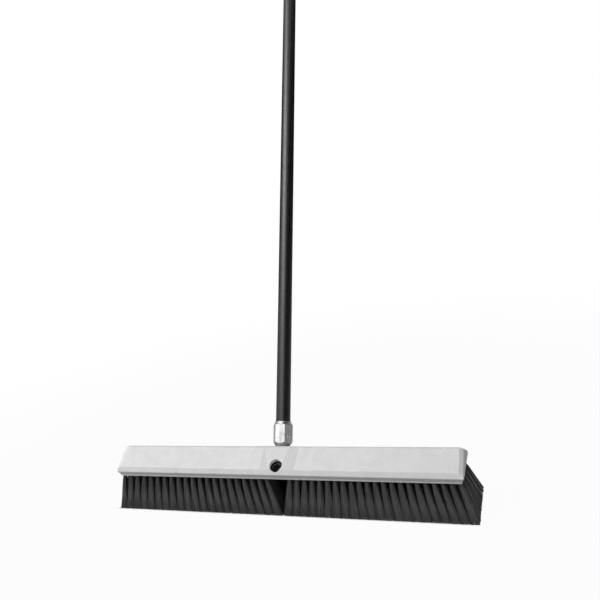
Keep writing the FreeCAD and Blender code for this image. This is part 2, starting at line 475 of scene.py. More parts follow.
@dataclass(frozen=True)
class Filament(Finish):
    """Black polypropylene filament, drawn: satin along its length, no two quite the same tone, those at a tuft's
    sides darker with painted shade.
    """

    name: str = "black_polypropylene_filament"
    light: str = "#525253"
    dark: str = "#0c0c0c"

    def material(self) -> bpy.types.Material:
        """Build the material.

        Returns:
            The material.
        """
        made, node, shader = new_material(self.name)
        # the tone attribute holds random tone less the painted shade at a tuft's sides
        self.dress(node, shader, node("ShaderNodeAttribute", attribute_name="tone").outputs["Fac"])
        feed(shader, {"Roughness": 0.42, "IOR": POLYMER_IOR})
        return made


@dataclass(frozen=True)
class CoatedSteel(Finish):
    """Steel tube with black baked enamel: satin, with a slight orange peel and faint handling marks."""

    name: str = "black_enamelled_steel"
    light: str = "#161616"
    dark: str = "#0c0c0c"
    peel: float = 2.2
    marks: float = 18.0

    def material(self) -> bpy.types.Material:
        """Build the material.

        Returns:
            The material.
        """
        made, node, shader = new_material(self.name)
        place = node(PLACE).outputs["Object"]
        marks = node(NOISE, {"Vector": place, "Scale": 1 / (self.marks * MM), "Detail": 6.0})
        peel = node(NOISE, {"Vector": place, "Scale": 1 / (self.peel * MM), "Detail": 1.0})
        self.dress(node, shader, marks, (marks, 0.3, 0.46), (peel, 0.12, 0.05))
        return made


@dataclass(frozen=True)
class PlatedSteel(Finish):
    """Plated or bright steel, drawn and pressed: cloudy, with faint streaks along the piece."""

    smooth: float
    rough: float
    cloud: float = 6.0
    streaks: float = 26.0
    streak_length: float = 45.0
    streak_share: float = 0.7

    def material(self) -> bpy.types.Material:
        """Build the material.

        Returns:
            The material.
        """
        made, node, shader = new_material(self.name)
        place = node(PLACE).outputs["Object"]
        plating = {"Scale": 1 / (self.cloud * MM), "Detail": 4.0, "Roughness": 0.65}
        cloud = node(NOISE, {"Vector": place, **plating})
        around = node("ShaderNodeUVMap", uv_map=AROUND)
        stretch = (self.streaks, 1 / self.streak_length, 1.0)
        around = node(VECTORS, (around, stretch), operation="MULTIPLY")
        streak = node(NOISE, {"Vector": around, "Scale": 1.0, "Detail": 3.0})
        both = node(MIX, {"Factor": self.streak_share, 2: cloud, 3: streak})
        tone = node(RANGE, {"Value": both, "From Min": 0.3, "From Max": 0.6})
        self.dress(node, shader, tone, (cloud, self.smooth, self.rough))
        feed(shader, {"Metallic": 1.0})
        return made


@dataclass(frozen=True)
class PlainPolymer(Finish):
    """Black moulded rubber or plastic with a fine matt skin."""

    roughness: float
    grain: float

    def material(self) -> bpy.types.Material:
        """Build the material.

        Returns:
            The material.
        """
        made, node, shader = new_material(self.name)
        place = node(PLACE).outputs["Object"]
        grain = node(NOISE, {"Vector": place, "Scale": 1 / (self.grain * MM), "Detail": 3.0})
        self.dress(node, shader, grain, relief=(grain, 0.2, 0.04))
        feed(shader, {"Roughness": self.roughness})
        return made


# --- Block ---


@dataclass
class BroomBlock:
    """Gabled block with its saddle, its two sockets and the drilled tuft holes."""

    foam: bpy.types.Material
    # the second material is painted shade for the sockets below their ledges
    bore: bpy.types.Material
    # the third material is painted shade for one ramp of each slope and the wedges beside the sockets
    painted_shade: bpy.types.Material
    handle_place: Matrix
    socket_place: Matrix
    nose_height: float = 10.0
    slope_foot_height: float = 18.5
    bevel_run: float = 3.5
    undercut: float = 3.6
    land_height: float = 3.0
    ridge_half: float = 1.5
    chamfer_run: float = 7.0
    chamfer_drop: float = 2.2
    saddle_half: float = 23.0
    saddle_ramp: float = 15.0
    saddle_lift: float = 0.2
    saddle_top_half: float = 2.0
    crest_y: float = 21.0
    crest_height: float = 30.0
    pad_foot_margin: float = 0.5
    pad_ridge_margin: float = 0.6
    wedge_near: float = 8.0
    wedge_far: float = 13.0
    edge_radius: float = 1.1
    bore_radius: float = 9.745
    bore_depth: float = 13.55
    counterbore_radius: float = 10.8
    thread_pitch: float = 5.08
    thread_margin: float = 1.7
    hole_radius: float = 2.95
    hole_depth: float = 14.0

    def __post_init__(self) -> None:
        """Take the block's place and outer size from its node."""
        low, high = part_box("broom_block")
        self.base = low.z / MM
        self.half_length = high.x / MM
        self.half_width = high.y / MM
        self.ridge_height = (high.z - low.z) / MM - self.saddle_lift
        self.slope_foot_y = self.half_width - self.bevel_run

    def point(self, x: float, y: float, height: float) -> Vector:
        """Point in metres, its height measured from the block's underside in millimetres."""
        return Vector((x, y, self.base + height)) * MM

    def outline(self, reach: float) -> list[tuple[float, float]]:
        """Section of the block above its land.

        Args:
            reach: Distance of the section from the block's middle.

        Returns:
            (y, height) points from the front foot over the ridge to the rear foot.
        """
        share = (self.slope_foot_y - self.crest_y) / (self.slope_foot_y - self.ridge_half)
        crest = (self.crest_y, self.slope_foot_height + (self.ridge_height - self.slope_foot_height) * share)
        ridge = (self.ridge_half, self.ridge_height)
        if reach <= self.saddle_half:
            crest = (self.crest_y, self.crest_height)
            ridge = (self.saddle_top_half, self.ridge_height + self.saddle_lift)
        side = [
            (self.half_width - self.undercut, self.land_height),
            (self.half_width, self.nose_height),
            (self.slope_foot_y, self.slope_foot_height),
            crest,
            ridge,
        ]
        return [(-y, height) for y, height in side] + side[::-1]

    def end_planes(self) -> list[tuple[Vector, Vector]]:
        """Planes of the undercut and the two gable chamfers at each end.

        Returns:
            (point, outward normal) for every plane.
        """
        rise = self.ridge_height - self.slope_foot_height
        run = self.slope_foot_y - self.ridge_half
        slope = math.hypot(rise, run)
        planes = []
        for side in (-1, 1):
            foot = self.point(side * (self.half_length - self.undercut), 0, self.land_height)
            planes.append((foot, Vector((side * (self.nose_height - self.land_height), 0, -self.undercut))))
            for way in (-1, 1):
                edge = self.point(
                    side * (self.half_length - self.chamfer_run), way * self.ridge_half, self.ridge_height
                )
                outward = Vector((0, way * rise / slope, run / slope)) * self.chamfer_run
                planes.append((edge, outward + Vector((side * self.chamfer_drop, 0, 0))))
        return planes

    def body(self) -> bmesh.types.BMesh:
        """Solid block with its saddle, cut to shape at the ends.

        Returns:
            The block without its holes, its faces of painted shade with the third material.
        """
        shape = bmesh.new()
        faded = self.saddle_half + self.saddle_ramp
        sections = []
        for x in (-self.half_length, -faded, -self.saddle_half, self.saddle_half, faded, self.half_length):
            outline = self.outline(abs(x))
            sections.append([shape.verts.new(self.point(x, y, height)) for y, height in outline])
        for low, high in zip(sections, sections[1:]):
            for index in range(len(low)):
                after = (index + 1) % len(low)
                ring = [low[index], high[index], high[after], low[after]]
                # one ramp of each slope gets painted shade, a darker tone of the foam
                middle = sum(corner.co.x for corner in ring) / len(ring) / MM
                slope = (2, 3) if middle > 0 else (5, 6)
                painted_shade = index in slope and abs(abs(middle) - (self.saddle_half + faded) / 2) < 1.0
                # a twisted face folds along the diagonal that stands out
                parts = [ring]
                if (ring[0].co + ring[2].co).z > (ring[1].co + ring[3].co).z + MERGE:
                    parts = [ring[:3], [ring[0], ring[2], ring[3]]]
                elif (ring[1].co + ring[3].co).z > (ring[0].co + ring[2].co).z + MERGE:
                    parts = [ring[1:], [ring[0], ring[1], ring[3]]]
                for part in parts:
                    shape.faces.new(part).material_index = 2 if painted_shade else 0
        shape.faces.new(sections[0])
        shape.faces.new(sections[-1][::-1])
        self.paint_shade_wedges(shape)
        for place, normal in self.end_planes():
            everything = shape.verts[:] + shape.edges[:] + shape.faces[:]
            cut = bmesh.ops.bisect_plane(
                shape, geom=everything, dist=ON_PLANE, plane_co=place, plane_no=normal, clear_outer=True
            )
            edges = [item for item in cut["geom_cut"] if isinstance(item, bmesh.types.BMEdge)]
            bmesh.ops.holes_fill(shape, edges=edges)
        bmesh.ops.remove_doubles(shape, verts=shape.verts, dist=MERGE)
        flat = math.radians(0.2)
        bmesh.ops.dissolve_limit(
            shape, angle_limit=flat, verts=shape.verts, edges=shape.edges, delimit={"MATERIAL"}
        )
        bmesh.ops.recalc_face_normals(shape, faces=shape.faces)
        foot = self.point(0, 0, self.land_height).z
        bottom = [face for face in shape.faces if abs(face.calc_center_median().z - foot) < MERGE]
        grown = bmesh.ops.extrude_face_region(shape, geom=bottom)
        moved = [item for item in grown["geom"] if isinstance(item, bmesh.types.BMVert)]
        bmesh.ops.translate(shape, verts=moved, vec=Vector((0, 0, -self.land_height * MM)))
        bmesh.ops.delete(shape, geom=bottom, context="FACES_ONLY")
        bmesh.ops.recalc_face_normals(shape, faces=shape.faces)
        return shape

    def pad_faces(self, shape: bmesh.types.BMesh, way: int) -> list[bmesh.types.BMFace]:
        """Faces of the saddle's pad on one slope.

        Args:
            shape: The block.
            way: -1 for the front slope, 1 for the rear one.

        Returns:
            The faces between the ridge and the slope's foot.
        """
        found = []
        for face in shape.faces:
            x, y, z = face.calc_center_median() / MM
            above = z > self.base + self.slope_foot_height + self.pad_foot_margin
            beyond = y * way > self.ridge_half + self.pad_ridge_margin
            if above and beyond and abs(x) < self.saddle_half:
                found.append(face)
        return found

    def paint_shade_wedges(self, shape: bmesh.types.BMesh) -> None:
        """Spread the painted shade beside each socket, in wedges that start at the pad's ridge corners.

        Args:
            shape: The block.
        """
        for way in (-1, 1):
            for side, reach in ((1, self.wedge_near), (-1, self.wedge_far)):
                top = self.point(way * side * self.saddle_half, way * self.ridge_half, 0)
                low = self.point(way * side * reach, way * self.slope_foot_y, 0)
                outward = Vector((low.y - top.y, top.x - low.x, 0)) * side
                pad = self.pad_faces(shape, way)
                edges = dict.fromkeys(edge for face in pad for edge in face.edges)
                points = dict.fromkeys(vertex for face in pad for vertex in face.verts)
                bmesh.ops.bisect_plane(
                    shape, geom=[*points, *edges, *pad], dist=ON_PLANE, plane_co=top, plane_no=outward
                )
                for face in self.pad_faces(shape, way):
                    if (face.calc_center_median() - top).dot(outward) > 0:
                        face.material_index = 2

    def socket_tool(self, place: Matrix) -> bmesh.types.BMesh:
        """Cutter for one socket: plain bore, ledge and counterbore.

        Args:
            place: Matrix from the socket's axis frame to the scene.

        Returns:
            The closed cutter, its bore and ledge with the second material, which is painted shade.
        """
        reach = self.half_width
        above_ledge = 0.5 * MM
        profile = [
            (ON_AXIS, -self.bore_depth),
            (self.bore_radius, -self.bore_depth),
            (self.bore_radius, 0.0),
            (self.counterbore_radius, 0.0),
            (self.counterbore_radius, reach),
            (ON_AXIS, reach),
        ]
        shape = lathe(profile, ROUND, place)
        ledge = place.translation
        axis = place.to_3x3().col[2]
        for face in shape.faces:
            # faces below the ledge take the painted shade of the bore
            face.material_index = int((face.calc_center_median() - ledge).dot(axis) < above_ledge)
        return shape

    def socket_thread(self) -> None:
        """Moulded thread inside the empty socket, a ridge winding up its bore."""
        shape = bmesh.new()
        steps = 48
        section = ((0.3, -1.5), (-1.9, -0.6), (-1.9, 0.6), (0.3, 1.5))
        turns = (self.bore_depth - 2 * self.thread_margin) / self.thread_pitch
        count = round(turns * steps)
        rings = []
        for index in range(count + 1):
            angle = math.tau * index / steps
            rise = self.thread_margin - self.bore_depth + self.thread_pitch * index / steps
            # the ridge grows to its full height in about a seventh of a turn
            fade = min(1.0, 0.1 + 6 * min(index, count - index) / steps)
            ring = []
            for depth, height in section:
                reach = self.bore_radius + (depth if depth > 0 else depth * fade)
                point = Vector((reach * math.cos(angle), reach * math.sin(angle), rise + height * fade)) * MM
                ring.append(shape.verts.new(self.socket_place @ point))
            rings.append(ring)
        for low, high in zip(rings, rings[1:]):
            for index in range(len(section)):
                after = (index + 1) % len(section)
                shape.faces.new((low[index], high[index], high[after], low[after]))
        shape.faces.new(rings[0])
        shape.faces.new(rings[-1][::-1])
        bmesh.ops.recalc_face_normals(shape, faces=shape.faces)
        piece = mesh_object("socket_thread", shape)
        add_modifier(piece, "BEVEL", width=0.25 * MM, segments=2)
        # the thread is darkened with the same painted shade
        settle(baked(piece), Body.HEAD, finish=self.bore)

    def hole_tool(self, roots: Iterable[tuple[Vector, Vector]]) -> bmesh.types.BMesh:
        """Cutters for the tuft holes.

        Args:
            roots: Root and direction of every tuft, in metres.

        Returns:
            One mesh with a cylinder for each hole.
        """
        shape = bmesh.new()
        radius = self.hole_radius * MM
        length = (self.hole_depth + self.land_height) * MM
        for root, direction in roots:
            turn = (-direction).to_track_quat("Z", "Y").to_matrix().to_4x4()
            centre = root - direction * (self.hole_depth * MM - length / 2)
            place = Matrix.Translation(centre) @ turn
            bmesh.ops.create_cone(
                shape, cap_ends=True, segments=16, radius1=radius, radius2=radius, depth=length, matrix=place
            )
        return shape

    def build(self, roots: Iterable[tuple[Vector, Vector]]) -> None:
        """Make the block and let it stand for its CAD node.

        Args:
            roots: Root and direction of every tuft, in metres.
        """
        block = mesh_object("block", self.body())
        for finish in (self.foam, self.bore, self.painted_shade):
            block.data.materials.append(finish)
        add_modifier(
            block,
            "BEVEL",
            width=self.edge_radius * MM,
            segments=3,
            limit_method="ANGLE",
            angle_limit=math.radians(9),
            use_clamp_overlap=False,
        )
        sockets = [self.socket_tool(place) for place in (self.handle_place, self.socket_place)]
        cutters = [*sockets, self.hole_tool(roots)]
        tools = [mesh_object(f"cutter_{index}", cutter) for index, cutter in enumerate(cutters)]
        for tool in tools:
            for finish in (self.foam, self.bore):
                tool.data.materials.append(finish)
            add_modifier(block, "BOOLEAN", operation="DIFFERENCE", solver="EXACT", object=tool)
        add_modifier(block, "WEIGHTED_NORMAL", keep_sharp=True)
        baked(block)
        for tool in tools:
            bpy.data.meshes.remove(tool.data)
        settle(block, Body.HEAD, ["broom_block"])
        self.socket_thread()


# --- Bristles ---


@dataclass
class Bristles:
    """Five rows of tufts, each tuft a bundle of filaments trimmed at the floor."""

    filament: bpy.types.Material
    trim_height: float
    per_tuft: int = 225
    filament_radius: float = 0.27
    root_radius: float = 2.6
    tip_radius: float = 8.8
    tip_depth: float = 14.5
    squareness: float = 0.85
    turn_scatter: float = 0.6
    tip_scatter: float = 0.9
    palest: float = 1.0
    tone_range: float = 0.3
    side_shade: float = 0.9
    end_clearance: float = 8.0
    inset: float = 3.0
    uneven: float = 0.25
    lift_in_radii: float = 1.2
    bow: float = 0.4
    flare: float = 1.2
    flare_power: float = 0.55
    flare_gain: float = 4.0

    def __post_init__(self) -> None:
        """Take the room that the filaments have from the solid tufts."""
        boxes = [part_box(f"bristles_{row.value}_{half.value}") for row in Row for half in Half]
        self.low = Vector([min(low[axis] for low, _ in boxes) for axis in range(3)])
        self.high = Vector([max(high[axis] for _, high in boxes) for axis in range(3)])

    def tufts(self, row: Row, half: Half) -> list[tuple[Vector, Vector]]:
        """Roots and directions of the tufts of half a row, read from its CAD node.

        Args:
            row: Which row.
            half: Which half of it.

        Returns:
            (root in the underside, unit vector towards the floor) for every tuft, in metres.
        """
        node = frame["nodes"][f"bristles_{row.value}_{half.value}"]
        shape = bmesh.new()
        shape.from_mesh(node.data)
        bmesh.ops.remove_doubles(shape, verts=shape.verts, dist=MERGE)
        waiting = set(shape.verts)
        found = []
        while waiting:
            island, edge = [], [waiting.pop()]
            while edge:
                vertex = edge.pop()
                island.append(vertex.co.copy())
                for link in vertex.link_edges:
                    other = link.other_vert(vertex)
                    if other in waiting:
                        waiting.discard(other)
                        edge.append(other)
            tips = [co for co in island if co.z < 1 * MM]
            tops = [co for co in island if co.z > (self.trim_height + 4) * MM]
            tip = sum(tips, Vector()) / len(tips)
            top = sum(tops, Vector()) / len(tops)
            direction = (tip - top).normalized()
            root = top + direction * ((top.z - self.trim_height * MM) / -direction.z)
            found.append((root, direction))
        shape.free()
        return sorted(found, key=lambda item: item[0].x)

    def tree(self) -> bpy.types.NodeTree:
        """Geometry nodes that grow a bundle of filaments from every root point.

        Returns:
            The tree, with its sizes as named inputs.
        """
        tree = bpy.data.node_groups.new("tuft_bundle", "GeometryNodeTree")
        tree.is_modifier = True
        tree.interface.new_socket("Geometry", in_out="INPUT", socket_type="NodeSocketGeometry")
        margin = Vector(LEVEL) * (self.bow + self.filament_radius) * MM
        sizes = {
            "Filaments": ("NodeSocketInt", self.per_tuft),
            "Filament radius": ("NodeSocketFloat", self.filament_radius * MM),
            "Root radius": ("NodeSocketFloat", self.root_radius * MM),
            "Tip radius": ("NodeSocketFloat", self.tip_radius * MM),
            "Tip depth": ("NodeSocketFloat", self.tip_depth * MM),
            "Squareness": ("NodeSocketFloat", self.squareness),
            "Low": ("NodeSocketVector", self.low + margin),
            "High": ("NodeSocketVector", self.high - margin),
            "Trim height": ("NodeSocketFloat", self.trim_height * MM),
            "Inset": ("NodeSocketFloat", self.inset * MM),
            "Uneven": ("NodeSocketFloat", self.uneven * MM),
            "Bow": ("NodeSocketFloat", self.bow * MM),
            "Flare": ("NodeSocketFloat", self.flare * MM),
            "Seed": ("NodeSocketInt", 1),
            "Material": ("NodeSocketMaterial", self.filament),
        }
        for name, (kind, value) in sizes.items():
            tree.interface.new_socket(name, in_out="INPUT", socket_type=kind).default_value = value
        tree.interface.new_socket("Geometry", in_out="OUTPUT", socket_type="NodeSocketGeometry")
        node = partial(add_node, tree)
        given = node("NodeGroupInput").outputs
        chance = {}
        for use, low, high, offset in (
            ("angle", -self.turn_scatter, self.turn_scatter, 11),
            ("width", self.tip_scatter, 1.0, 23),
            ("depth", self.tip_scatter, 1.0, 29),
            ("trim", 0.0, 1.0, 37),
            ("tone", self.palest - self.tone_range, self.palest, 51),
            ("bow_x", -1.0, 1.0, 67),
            ("bow_y", -1.0, 1.0, 79),
        ):
            seed = node(MATHS, (given["Seed"], offset), operation="ADD")
            number = node("FunctionNodeRandomValue", {2: low, 3: high, "Seed": seed}, data_type="FLOAT")
            chance[use] = number.outputs[1]

        points = node("GeometryNodeMeshToPoints", {"Mesh": given["Geometry"]}, mode="VERTICES")
        copies = {"Geometry": points, "Amount": given["Filaments"]}
        many = node("GeometryNodeDuplicateElements", copies, domain="POINT").outputs
        # sunflower pattern: each filament one golden angle on from the last
        share = node(MATHS, (many["Duplicate Index"], 0.5), operation="ADD")
        share = node(MATHS, (share, given["Filaments"]), operation="DIVIDE")
        reach = node(MATHS, (share,), operation="SQRT")
        golden = math.pi * (3 - math.sqrt(5))
        angle = node(MATHS, (many["Duplicate Index"], golden), operation="MULTIPLY")
        angle = node(MATHS, (angle, chance["angle"]), operation="ADD")
        cosine, sine = (node(MATHS, (angle,), operation=kind) for kind in ("COSINE", "SINE"))
        axis = node(READ, {"Name": "axis"}, data_type="FLOAT_VECTOR")
        side = node(VECTORS, (axis, (0.0, 1.0, 0.0)), operation="CROSS_PRODUCT")
        side = node(VECTORS, (side,), operation="NORMALIZE")
        front = node(VECTORS, (axis, side), operation="CROSS_PRODUCT")
        off_axis = node(MATHS, (cosine, reach), operation="MULTIPLY")
        across = node(VECTORS, {0: side, "Scale": off_axis}, operation="SCALE")
        deep = node(MATHS, (sine, reach), operation="MULTIPLY")
        deep = node(VECTORS, {0: front, "Scale": deep}, operation="SCALE")
        spoke = node(VECTORS, (across, deep), operation="ADD")

        # the round bundle spreads to a nearly square tip, so that neighbours meet in a straight edge
        widest = [node(MATHS, (part,), operation="ABSOLUTE") for part in (cosine, sine)]
        squared = node(MATHS, (1.0, node(MATHS, widest, operation="MAXIMUM")), operation="DIVIDE")
        squared = node(MATHS, (squared, given["Squareness"]), operation="POWER")
        spread = []
        for way, size, use in ((across, "Tip radius", "width"), (deep, "Tip depth", "depth")):
            size = node(MATHS, (given[size], squared), operation="MULTIPLY")
            size = node(MATHS, (size, chance[use]), operation="MULTIPLY")
            spread.append(node(VECTORS, {0: way, "Scale": size}, operation="SCALE"))
        drop = node(MATHS, (node(SPLIT, (axis,)).outputs[2],), operation="ABSOLUTE")
        length = node(MATHS, (given["Trim height"], drop), operation="DIVIDE")
        root = node("GeometryNodeInputPosition")
        tip = node(VECTORS, {0: axis, "Scale": length}, operation="SCALE")
        tip = node(VECTORS, (root, tip), operation="ADD")
        tip = node(VECTORS, (tip, node(VECTORS, spread, operation="ADD")), operation="ADD")
        tip = node(VECTORS, (tip, LEVEL), operation="MULTIPLY")
        tip = node(VECTORS, (tip, given["Low"]), operation="MAXIMUM")
        tip = node(VECTORS, (tip, given["High"]), operation="MINIMUM")

        # every filament starts inside the block and runs straight to its tip
        foot = node(VECTORS, {0: spoke, "Scale": given["Root radius"]}, operation="SCALE")
        course = node(VECTORS, (tip, node(VECTORS, (root, foot), operation="ADD")), operation="SUBTRACT")
        course = node(VECTORS, (course,), operation="NORMALIZE")
        start = node(VECTORS, {0: course, "Scale": given["Inset"]}, operation="SCALE")
        start = node(VECTORS, (foot, start), operation="SUBTRACT")
        grown = node("GeometryNodeSetPosition", {"Geometry": many[0], "Offset": start})
        height = node(SPLIT, (node("GeometryNodeInputPosition"),)).outputs[2]
        ragged = node(MATHS, (chance["trim"], 2.0), operation="POWER")
        ragged = node(MATHS, (ragged, given["Uneven"]), operation="MULTIPLY")
        lift = node(MATHS, (given["Filament radius"], self.lift_in_radii), operation="MULTIPLY")
        full = node(MATHS, (ragged, lift), operation="ADD")
        full = node(MATHS, (height, full), operation="SUBTRACT")
        drop = node(MATHS, (node(SPLIT, (course,)).outputs[2],), operation="ABSOLUTE")
        full = node(MATHS, (full, drop), operation="DIVIDE")
        thin = given["Filament radius"]
        size = node("ShaderNodeCombineXYZ", (thin, thin, full))
        turn = node("FunctionNodeAlignRotationToVector", {"Vector": course}, axis="Z")

        # painted shade: filaments at the sides of a tuft are darkened as if its neighbours shaded them, those in
        # its middle stay lighter
        shade = node(MATHS, (off_axis,), operation="ABSOLUTE")
        shade = node(MATHS, (shade, 2.0), operation="POWER")
        # while the end tufts have no neighbour to shade them
        above = node(VECTORS, (tip, given["Low"]), operation="SUBTRACT")
        below = node(VECTORS, (given["High"], tip), operation="SUBTRACT")
        beside = node(SPLIT, (node(VECTORS, (above, below), operation="MINIMUM"),)).outputs[0]
        inner = node(MATHS, (beside, self.end_clearance * MM), operation="GREATER_THAN")
        shade = node(MATHS, (shade, inner), operation="MULTIPLY")
        shade = node(MATHS, (shade, self.side_shade), operation="MULTIPLY")
        # the stored tone is random tone less this painted shade
        tone = node(MATHS, (chance["tone"], shade), operation="SUBTRACT")
        bow = node("ShaderNodeCombineXYZ", (chance["bow_x"], chance["bow_y"]))
        for name, kind, value in (
            ("tone", "FLOAT", tone),
            ("bow", "FLOAT_VECTOR", bow),
            ("spoke", "FLOAT_VECTOR", spoke),
        ):
            kept = {"Geometry": grown, "Name": name, "Value": value}
            grown = node(STORE, kept, data_type=kind, domain="POINT")

        strands = {"Points": grown, "Instance": self.strand(node), "Rotation": turn, "Scale": size}
        grown = node("GeometryNodeInstanceOnPoints", strands)
        grown = node("GeometryNodeRealizeInstances", {"Geometry": grown})
        sway = self.sway(node, given["Bow"], given["Flare"])
        grown = node("GeometryNodeSetPosition", {"Geometry": grown, "Offset": sway})
        grown = node("GeometryNodeSetMaterial", {"Geometry": grown, "Material": given["Material"]})
        node("NodeGroupOutput", (grown,))
        return tree

    def strand(self, node: NodeAdder) -> bpy.types.Node:
        """One filament of unit length and radius, told how far along each of its points is.

        Args:
            node: Adds a node to the tree.

        Returns:
            The node that gives its mesh.
        """
        line = node("GeometryNodeCurvePrimitiveLine", {"Start": (0, 0, 0), "End": (0, 0, 1)})
        line = node("GeometryNodeResampleCurve", {"Curve": line, "Count": 5})
        along = node("GeometryNodeSplineParameter").outputs["Factor"]
        kept = {"Geometry": line, "Name": "along", "Value": along}
        line = node(STORE, kept, data_type="FLOAT", domain="POINT")
        ring = node("GeometryNodeCurvePrimitiveCircle", {"Resolution": 4, "Radius": 1.0})
        return node("GeometryNodeCurveToMesh", {"Curve": line, "Profile Curve": ring, "Fill Caps": True})

    def sway(
        self, node: NodeAdder, bow: bpy.types.NodeSocket, flare: bpy.types.NodeSocket
    ) -> bpy.types.Node:
        """Offset of a filament's points: it flares soon below the block and bows a little its own way.

        Args:
            node: Adds a node to the tree.
            bow: How far a tip is bowed, in metres.
            flare: How far the bundle flares, in metres.

        Returns:
            The node that gives the offset.
        """
        along = node(READ, {"Name": "along"}, data_type="FLOAT")
        curve = node(MATHS, (along, 2.0), operation="POWER")
        curve = node(MATHS, (curve, bow), operation="MULTIPLY")
        bulge = node(MATHS, (along, self.flare_power), operation="POWER")
        bulge = node(MATHS, (bulge, along), operation="SUBTRACT")
        bulge = node(MATHS, (bulge, self.flare_gain), operation="MULTIPLY")
        bulge = node(MATHS, (bulge, flare), operation="MULTIPLY")
        parts = []
        for name, size in (("bow", curve), ("spoke", bulge)):
            way = node(READ, {"Name": name}, data_type="FLOAT_VECTOR")
            parts.append(node(VECTORS, {0: way, "Scale": size}, operation="SCALE"))
        return node(VECTORS, (node(VECTORS, parts, operation="ADD"), LEVEL), operation="MULTIPLY")

    def build(self) -> list[tuple[Vector, Vector]]:
        """Grow every half row.

        Returns:
            Root and direction of every tuft, in metres.
        """
        tree = self.tree()
        seed_socket = next(item for item in tree.interface.items_tree if item.name == "Seed")
        everything = []
        for index, (row, half) in enumerate((row, half) for row in Row for half in Half):
            tufts = self.tufts(row, half)
            everything += tufts
            name = f"bristles_{row.value}_{half.value}"
            mesh = bpy.data.meshes.new(name)
            mesh.from_pydata([root for root, _ in tufts], [], [])
            axis = mesh.attributes.new("axis", "FLOAT_VECTOR", "POINT")
            axis.data.foreach_set("vector", [part for _, way in tufts for part in way])
            piece = bpy.data.objects.new(f"filaments_{row.value}_{half.value}", mesh)
            bpy.context.scene.collection.objects.link(piece)
            grow = piece.modifiers.new("grow", "NODES")
            grow.node_group = tree
            grow[seed_socket.identifier] = 100 * (index + 1)
            baked(piece)
            piece.data.shade_smooth()
            settle(piece, Body.HEAD, [name])
        return everything


# --- Ferrule and handle ---


class Ring(Enum):
    """Rings of the ferrule's shell whose radius changes round the handle."""

    STUD = "stud"
    HEXAGON = "hexagon"


